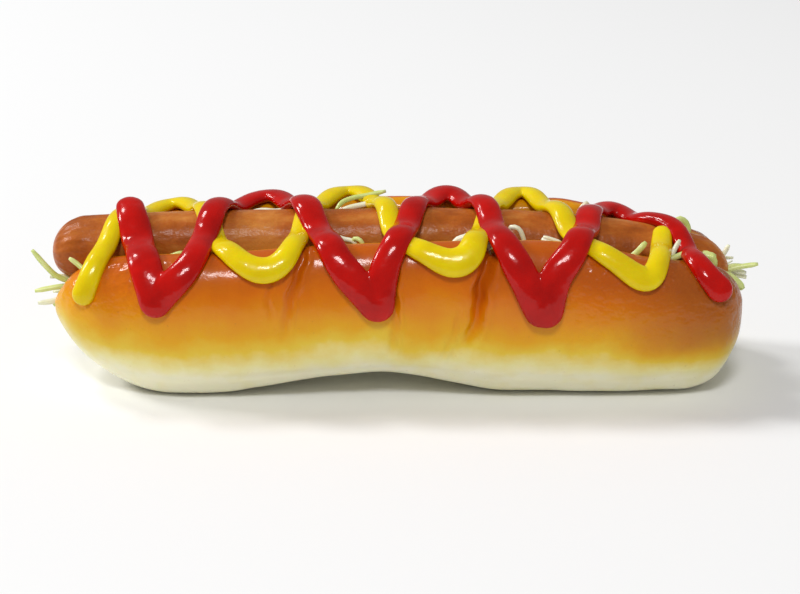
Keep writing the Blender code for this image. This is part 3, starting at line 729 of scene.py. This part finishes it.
# Shreds that stand out in plain sight: kind, width, points (x, y, z).
FEATURE_SHREDS = (
    ("green", 1.5, ((-99.4, -12.5, 41), (-97.3, -13, 39.6), (-95.2, -14, 38), (-92.7, -15, 35.8))),
    ("green", 1.7, ((-95.3, -6, 30.4), (-100.6, -7, 31.7), (-104.3, -8, 33.7),
                    (-107.5, -9, 37.6), (-111.1, -9, 42.4))),
    ("green", 1.6, ((-95.5, -5, 29.4), (-102.5, -7, 30.1), (-106.6, -8, 29.8), (-111.1, -9, 29.2))),
    ("white", 1.7, ((-95.6, -5, 28.4), (-101.7, -9, 27.6), (-105.9, -10, 26.3), (-110.2, -10, 25.7))),
    ("white", 1.5, ((-96.5, -3, 29), (-100.3, -5, 31.7), (-103.7, -6, 33), (-106.8, -6, 32.7))),
    ("green", 1.3, ((-73.2, -15, 42.2), (-70.9, -15, 41.9), (-68.5, -14.6, 42.4),
                    (-66.4, -14.4, 43.1), (-64.6, -14.2, 43.5))),
    ("white", 1.4, ((-47.1, 9, 48.4), (-42.8, 9.5, 49.2), (-38.7, 9, 49.1), (-34.1, 9, 49.5),
                    (-31.2, 8, 48.7))),
    ("green", 1.5, ((-19.8, 8, 49.7), (-18, 10, 51.5), (-14.9, 12, 52.3), (-9.9, 13, 53),
                    (-4.4, 14, 54))),
    ("white", 1.6, ((-17.6, 8, 50), (-13.6, 9, 50.7), (-9.9, 10, 51.2), (-6.8, 11, 51.7))),
    ("white", 1.3, ((-20.7, -10, 49), (-18.9, -11.5, 47.6), (-16.5, -12.5, 47), (-14, -13.5, 46.7),
                    (-12.9, -14, 45.3))),
    ("green", 1.3, ((-14.7, -13, 45.9), (-13.4, -14, 47.7), (-11.9, -15, 47.5), (-10.7, -15, 45.7))),
    ("white", 1.6, ((13.1, -14.5, 44.5), (15.5, -14, 45.6), (17.3, -13.5, 47.4),
                    (19.7, -13, 48.1), (22.7, -12, 50))),
    ("white", 1.2, ((19.1, -15, 44.7), (18.5, -15, 46.9), (20, -14.5, 48.3))),
    ("white", 1.4, ((23.2, -17, 42.6), (25.5, -18, 44.8), (26.6, -18, 46.7), (25.8, -17, 48),
                    (23.8, -16, 47.6), (23, -15, 45.7))),
    ("white", 1.4, ((32, -12, 49.1), (33.4, -13, 51), (35.5, -13.5, 50.5), (36.7, -14, 48.1),
                    (37.7, -14, 44.4))),
    ("white", 1.8, ((42.5, -12.5, 47.3), (44.5, -13.5, 46.1), (46.9, -14, 45.3), (49.6, -14, 45.9))),
    ("white", 1.3, ((42.8, -12.5, 47.7), (45.8, -13, 46.9), (48.4, -13.5, 46.1))),
    ("white", 1.8, ((55.5, 10, 48.4), (56.9, 11.5, 49.6), (58.4, 12, 51.1))),
    ("green", 1.8, ((68.2, -15, 41.6), (70.6, -14.5, 43.3), (72.3, -14, 45), (73.6, -13, 46.2))),
    ("green", 1.7, ((80, -16, 41.6), (82.4, -15.5, 42.4), (84.6, -15, 43.1), (87, -14.5, 43.9))),
    ("white", 1.5, ((80.7, -15.5, 41.7), (82.2, -14, 44.4), (83.8, -12.5, 46.7))),
    ("green", 2.6, ((90.9, -11, 42.1), (92.9, -12, 41.5), (95, -12, 41.2))),
    ("green", 2.2, ((93.4, -12.5, 42), (94.3, -13, 39.9), (94.1, -13, 38))),
    ("green", 2.0, ((85, 7, 46.1), (86.7, 8, 46.8), (88.6, 8, 45.5), (89.5, 7, 42.6))),
    ("white", 1.5, ((99, 2, 36.1), (100.3, 3, 37.7), (101.4, 3, 40))),
    ("green", 1.6, ((99.1, -4, 33.9), (103.3, -4, 35.2), (106.3, -4, 35.7), (109.4, -4, 36.2))),
    ("white", 1.6, ((98.7, -3, 33.6), (103, -3, 33.6), (106.1, -3, 32.9))),
    ("green", 2.4, ((98.8, -6, 34), (101.1, -7, 32.7), (103.1, -7, 31.1), (104.7, -7, 29.1))),
)


def build_shreds():
    """Green and white shreds: the ones in plain sight, fans at both ends, and a fill."""
    rng = random.Random(7)
    parts = {"green": ([], []), "white": ([], [])}

    def add(kind, points, width, thickness, twist, lean=None):
        lean = lean or Vector((rng.uniform(-1, 1), rng.uniform(-1, 1), 1.2))
        verts, faces = ribbon(points, width, thickness, twist, lean.normalized())
        all_verts, all_faces = parts[kind]
        base = len(all_verts)
        all_verts.extend(verts)
        all_faces.extend(tuple(base + i for i in face) for face in faces)

    for kind, width, points in FEATURE_SHREDS:
        add(kind, points, width, 0.6, rng.uniform(-0.5, 0.5), TOWARDS_VIEWER)
    for end, middle, spread in ((-1, 28.5, 5.0), (1, 31.0, 4.0)):
        for _ in range(FAN_SHREDS):
            kind = "green" if rng.random() < 0.5 else "white"
            fan = rng.uniform(-1, 1)
            rise = rng.uniform(-1, 1)
            root = Vector((end * rng.uniform(84, 90), fan * 5, middle - 2 + rise * 2.0))
            knee = Vector((end * rng.uniform(95, 99), fan * 7, middle - 1 + rise * 2.5))
            tip = Vector((end * rng.uniform(102.5, 106.5), fan * 9.5 + rng.uniform(-1, 1),
                          middle + rise * spread))
            near_tip = knee.lerp(tip, 0.6) + Vector((0, rng.uniform(-1, 1), rng.uniform(0, 1.5)))
            add(kind, (root, knee, near_tip, tip), rng.uniform(1.5, 2.3), SHRED_THICKNESS,
                rng.uniform(-1.2, 1.2))
    for _ in range(FILL_SHREDS):
        kind = "green" if rng.random() < 0.55 else "white"
        side = -1 if rng.random() < 0.62 else 1
        x = rng.uniform(-92, 92)
        section = RollSection(x)
        level = section.top[side] - CORE_BELOW_LIP + 0.2
        span = rng.uniform(5, 14)
        points = []
        for k in range(4):
            px = x + span * (k / 3 - 0.5)
            py = side * rng.uniform(SAUSAGE_RADIUS + 0.6, section.lip - LIP_ROUNDING - 0.6)
            pz = level + rng.uniform(0.0, 1.5)
            points.append((px, py, pz))
        add(kind, points, rng.uniform(1.1, 1.7), 0.45, rng.uniform(-1.2, 1.2))
    pieces = []
    for kind, (verts, faces) in parts.items():
        piece = make_object("shreds_" + kind, verts, faces)
        face_outward(piece)
        pieces.append(piece)
    return pieces


# ---------------------------------------------------------------- materials
def srgb(*channels):
    """Linear colour from 0 to 255 sRGB values."""
    linear = [c / 255 / 12.92 if c <= 10 else ((c / 255 + 0.055) / 1.055) ** 2.4 for c in channels]
    return (*linear, 1.0)


class Material:
    """A Principled material with short helpers for its nodes."""

    def __init__(self, name, **settings):
        self.made = bpy.data.materials.new(name)
        self.made.use_nodes = True
        self.nodes = self.made.node_tree.nodes
        self.links = self.made.node_tree.links
        self.shader = self.nodes["Principled BSDF"]
        for key, value in settings.items():
            self.shader.inputs[key.replace("_", " ")].default_value = value

    def node(self, kind, **values):
        made = self.nodes.new(kind)
        for key, value in values.items():
            if hasattr(made, key):
                setattr(made, key, value)
            else:
                made.inputs[key.replace("_", " ")].default_value = value
        return made

    def position(self, stretch=(1, 1, 1)):
        where = self.node("ShaderNodeTexCoord")
        mapping = self.node("ShaderNodeMapping")
        mapping.inputs["Scale"].default_value = stretch
        self.links.new(where.outputs["Object"], mapping.inputs["Vector"])
        return mapping.outputs["Vector"]

    def noise(self, per_metre, detail=3.0, roughness=0.5, stretch=(1, 1, 1)):
        made = self.node("ShaderNodeTexNoise", Scale=per_metre, Detail=detail, Roughness=roughness)
        self.links.new(self.position(stretch), made.inputs["Vector"])
        return made.outputs["Fac"]

    def ridges(self, per_metre, stretch=(1, 1, 1)):
        """Thin raised lines where smooth noise crosses its middle."""
        off = self.add(self.noise(per_metre, 2, 0.5, stretch), 0.5, "SUBTRACT")
        return self.remap(self.add(off, 0.0, "ABSOLUTE"), 0.0, 0.14, 1.0, 0.0)

    def attribute(self, name):
        made = self.node("ShaderNodeAttribute")
        made.attribute_name = name
        return made.outputs["Fac"]

    def remap(self, value, low, high, to_low, to_high):
        made = self.node("ShaderNodeMapRange")
        for socket, number in zip(("From Min", "From Max", "To Min", "To Max"),
                                  (low, high, to_low, to_high)):
            made.inputs[socket].default_value = number
        self.links.new(value, made.inputs["Value"])
        return made.outputs["Result"]

    def add(self, a, b, operation="ADD"):
        made = self.node("ShaderNodeMath")
        made.operation = operation
        for socket, value in zip(made.inputs, (a, b)):
            if isinstance(value, (int, float)):
                socket.default_value = value
            else:
                self.links.new(value, socket)
        return made.outputs[0]

    def ramp(self, value, stops):
        made = self.node("ShaderNodeValToRGB")
        elements = made.color_ramp.elements
        while len(elements) < len(stops):
            elements.new(0.5)
        for element, (place, colour) in zip(elements, stops):
            element.position = place
            element.color = colour
        self.links.new(value, made.inputs["Fac"])
        return made.outputs["Color"]

    def mix(self, share, a, b):
        made = self.node("ShaderNodeMix")
        made.data_type = "RGBA"
        for socket, value in ((made.inputs[0], share), (made.inputs[6], a), (made.inputs[7], b)):
            if isinstance(value, (int, float, tuple)):
                socket.default_value = value
            else:
                self.links.new(value, socket)
        return made.outputs[2]

    def bump(self, height, distance, strength=1.0, after=None):
        made = self.node("ShaderNodeBump", Strength=strength, Distance=distance)
        self.links.new(height, made.inputs["Height"])
        if after is not None:
            self.links.new(after, made.inputs["Normal"])
        return made.outputs["Normal"]

    def wire(self, output, socket):
        self.links.new(output, self.shader.inputs[socket])


def soft(material, weight, scale, radius):
    material.shader.inputs["Subsurface Weight"].default_value = weight
    material.shader.inputs["Subsurface Scale"].default_value = scale
    material.shader.inputs["Subsurface Radius"].default_value = radius


def crust_material():
    made = Material("baked crust", Coat_Weight=0.45, Coat_Roughness=0.12)
    made.shader.inputs["Specular IOR Level"].default_value = 0.10
    # This value is the crust's baking colour plus painted shade in the front wall's creases.
    bake_and_crease_shade = made.attribute("bake_and_crease_shade")
    patches = made.remap(made.noise(90, 4, 0.55), 0.3, 0.7, -0.06, 0.06)
    bake_and_crease_shade = made.add(bake_and_crease_shade, patches)
    crust = made.ramp(bake_and_crease_shade, (
        (0.00, srgb(246, 242, 210)), (0.12, srgb(238, 228, 160)), (0.28, srgb(228, 194, 56)),
        (0.42, srgb(226, 164, 2)), (0.60, srgb(222, 138, 0)), (0.80, srgb(214, 112, 0)),
        (1.00, srgb(190, 88, 6))))
    toasted = made.add(made.attribute("toast"), made.remap(bake_and_crease_shade, 0.1, 0.5, 0.0, 0.62), "MULTIPLY")
    crust = made.mix(toasted, crust, srgb(132, 74, 22))
    specks = made.ramp(made.noise(900, 2, 0.5), ((0.70, (0, 0, 0, 1)), (0.76, (1, 1, 1, 1))))
    crust = made.mix(made.add(specks, 0.22, "MULTIPLY"), crust, srgb(150, 92, 36))
    crumb = made.ramp(made.noise(420, 5, 0.6), (
        (0.3, srgb(208, 158, 92)), (0.7, srgb(228, 190, 130))))
    made.wire(made.mix(made.attribute("crumb"), crust, crumb), "Base Color")
    rough = made.remap(made.noise(140, 3), 0.3, 0.7, 0.24, 0.38)
    rough = made.add(rough, made.remap(bake_and_crease_shade, 0.0, 0.35, 0.28, 0.0))
    made.wire(rough, "Roughness")
    fine = made.bump(made.noise(1100, 3), 0.00008, 0.4)
    lumps = made.add(made.noise(330, 2, 0.5, (0.8, 1, 1)), made.attribute("blister"), "MULTIPLY")
    surface = made.bump(lumps, 0.0009, 0.8, fine)
    made.wire(surface, "Normal")
    made.wire(surface, "Coat Normal")
    soft(made, 0.1, 0.0015, (1.0, 0.5, 0.2))
    return made.made


def sausage_material():
    made = Material("sausage casing", Coat_Weight=0.12, Coat_Roughness=0.2)
    made.shader.inputs["Specular IOR Level"].default_value = 0.14
    tone = made.noise(75, 5, 0.62, (0.5, 1, 1))
    colour = made.ramp(tone, (
        (0.36, srgb(146, 70, 16)), (0.50, srgb(178, 94, 28)), (0.64, srgb(204, 130, 56))))
    made.wire(colour, "Base Color")
    made.wire(made.remap(made.noise(160, 3), 0.3, 0.7, 0.30, 0.50), "Roughness")
    fine = made.bump(made.noise(1300, 2, 0.5, (0.35, 1, 1)), 0.00010, 0.5)
    folds = made.bump(made.noise(210, 4, 0.6, (0.7, 1, 1)), 0.00080, 0.6, fine)
    surface = made.bump(made.ridges(200, (1.2, 0.6, 0.6)), 0.00015, 0.3, folds)
    made.wire(surface, "Normal")
    made.wire(surface, "Coat Normal")
    soft(made, 0.1, 0.002, (1.0, 0.45, 0.2))
    return made.made


def lettuce_material(name, dark, light):
    made = Material(name, Roughness=0.38, Coat_Weight=0.2, Coat_Roughness=0.15)
    made.wire(made.ramp(made.noise(160, 3, 0.6), ((0.3, dark), (0.7, light))), "Base Color")
    made.wire(made.bump(made.noise(900, 2, 0.5, (0.3, 1, 1)), 0.00012, 0.5), "Normal")
    soft(made, 0.15, 0.0015, (0.9, 1.0, 0.4))
    return made.made


def sauce_material(name, stops, rim, rough, gloss):
    made = Material(name, Coat_Weight=gloss, Coat_Roughness=0.04)
    made.shader.inputs["Specular IOR Level"].default_value = 0.18
    colour = made.ramp(made.noise(130, 3, 0.5), stops)
    edge = made.add(made.attribute("rim"), 0.7, "MULTIPLY")
    made.wire(made.mix(edge, colour, rim), "Base Color")
    made.wire(made.remap(made.noise(220, 2), 0.3, 0.7, rough[0], rough[1]), "Roughness")
    surface = made.bump(made.noise(300, 2, 0.4), 0.0004, 0.45)
    made.wire(surface, "Normal")
    made.wire(surface, "Coat Normal")
    soft(made, 0.12, 0.0012, (1.0, 0.3, 0.1))
    return made.made


# ---------------------------------------------------------------- the piece list
roll = build_roll()
roll.data.materials.append(crust_material())
sausage = build_sausage()
sausage.data.materials.append(sausage_material())
mustard, ketchup = build_sauces()
below = triangles_of((roll, sausage))
paint_rim(mustard, below)
paint_rim(ketchup, below)
mustard_tones = ((0.30, srgb(222, 192, 0)), (0.70, srgb(234, 210, 0)))
mustard.data.materials.append(sauce_material(
    "mustard gloss", mustard_tones, rim=srgb(214, 170, 0), rough=(0.16, 0.28), gloss=0.2))
ketchup_tones = ((0.30, srgb(168, 4, 0)), (0.70, srgb(196, 10, 2)))
ketchup.data.materials.append(sauce_material(
    "ketchup gloss", ketchup_tones, rim=srgb(204, 30, 14), rough=(0.12, 0.22), gloss=0.22))
core = build_core()
# The buried core takes darker, olive copies of the shred colours: painted shade of the lettuce deep
# in the slot.
core.data.materials.append(lettuce_material(
    "packed lettuce", srgb(120, 128, 60), srgb(190, 196, 128)))
green_shreds, white_shreds = build_shreds()
green_shreds.data.materials.append(lettuce_material(
    "green shreds", srgb(196, 214, 110), srgb(226, 234, 160)))
white_shreds.data.materials.append(lettuce_material(
    "white shreds", srgb(232, 232, 190), srgb(246, 246, 222)))

for piece, node, slot in (
    (roll, "bun", "bun_crust"),
    (sausage, "sausage", "sausage_skin"),
    (mustard, "mustard", "mustard_sauce"),
    (ketchup, "ketchup", "ketchup_sauce"),
    (core, "lettuce", "lettuce_shreds"),
    (green_shreds, "lettuce", "lettuce_shreds"),
    (white_shreds, "lettuce", "lettuce_shreds"),
):
    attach(piece, "root")
    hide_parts(node)


# ---------------------------------------------------------------- stage, light, camera
FLOOR_HALF = 4000.0
WORLD_STRENGTH = 0.30
LAMP_AIM = (0, 0, 0.03)
# name, place in metres, width, power
LAMPS = (
    ("window", (-2.40, 0.50, 1.76), 0.75, 40.0),
    ("high window", (-1.50, 0.90, 2.40), 0.6, 22.0),
    ("front", (-0.20, -2.20, 2.90), 0.8, 50.0),
)
CAMERA_ELEVATION = 20
CAMERA_DISTANCE = 0.585
CAMERA_AIM_HEIGHT = 0.024


def build_floor():
    half = FLOOR_HALF
    floor = make_object("floor", [(-half, -half, 0), (half, -half, 0), (half, half, 0),
                                  (-half, half, 0)], [(0, 1, 2, 3)], smooth=False)
    made = Material("pale floor", Base_Color=(0.90, 0.90, 0.90, 1), Roughness=0.9)
    made.shader.inputs["Specular IOR Level"].default_value = 0.0
    floor.data.materials.append(made.made)


def add_lamp(name, place, size, power):
    data = bpy.data.lights.new(name, "AREA")
    data.shape = "DISK"
    data.size = size
    data.energy = power
    data.color = (1, 1, 1)
    lamp = bpy.data.objects.new(name, data)
    lamp.location = place
    lamp.rotation_euler = (Vector(LAMP_AIM) - Vector(place)).to_track_quat("-Z", "Y").to_euler()
    bpy.context.scene.collection.objects.link(lamp)


def build_light():
    world = bpy.data.worlds.new("studio")
    world.use_nodes = True
    background = world.node_tree.nodes["Background"]
    background.inputs["Color"].default_value = (1, 1, 1, 1)
    background.inputs["Strength"].default_value = WORLD_STRENGTH
    bpy.context.scene.world = world
    for name, place, size, power in LAMPS:
        add_lamp(name, place, size, power)


def build_camera():
    data = bpy.data.cameras.new("camera")
    data.lens = 85
    data.sensor_width = 36
    camera = bpy.data.objects.new("camera", data)
    bpy.context.scene.collection.objects.link(camera)
    elevation = math.radians(CAMERA_ELEVATION)
    target = Vector((0, BACK_STEP * MM, CAMERA_AIM_HEIGHT))
    back = Vector((0, -math.cos(elevation), math.sin(elevation)))
    camera.location = target + back * CAMERA_DISTANCE
    camera.rotation_euler = (math.pi / 2 - elevation, 0, 0)
    bpy.context.scene.camera = camera


build_floor()
build_light()
build_camera()
bpy.context.scene.view_settings.view_transform = "Standard"
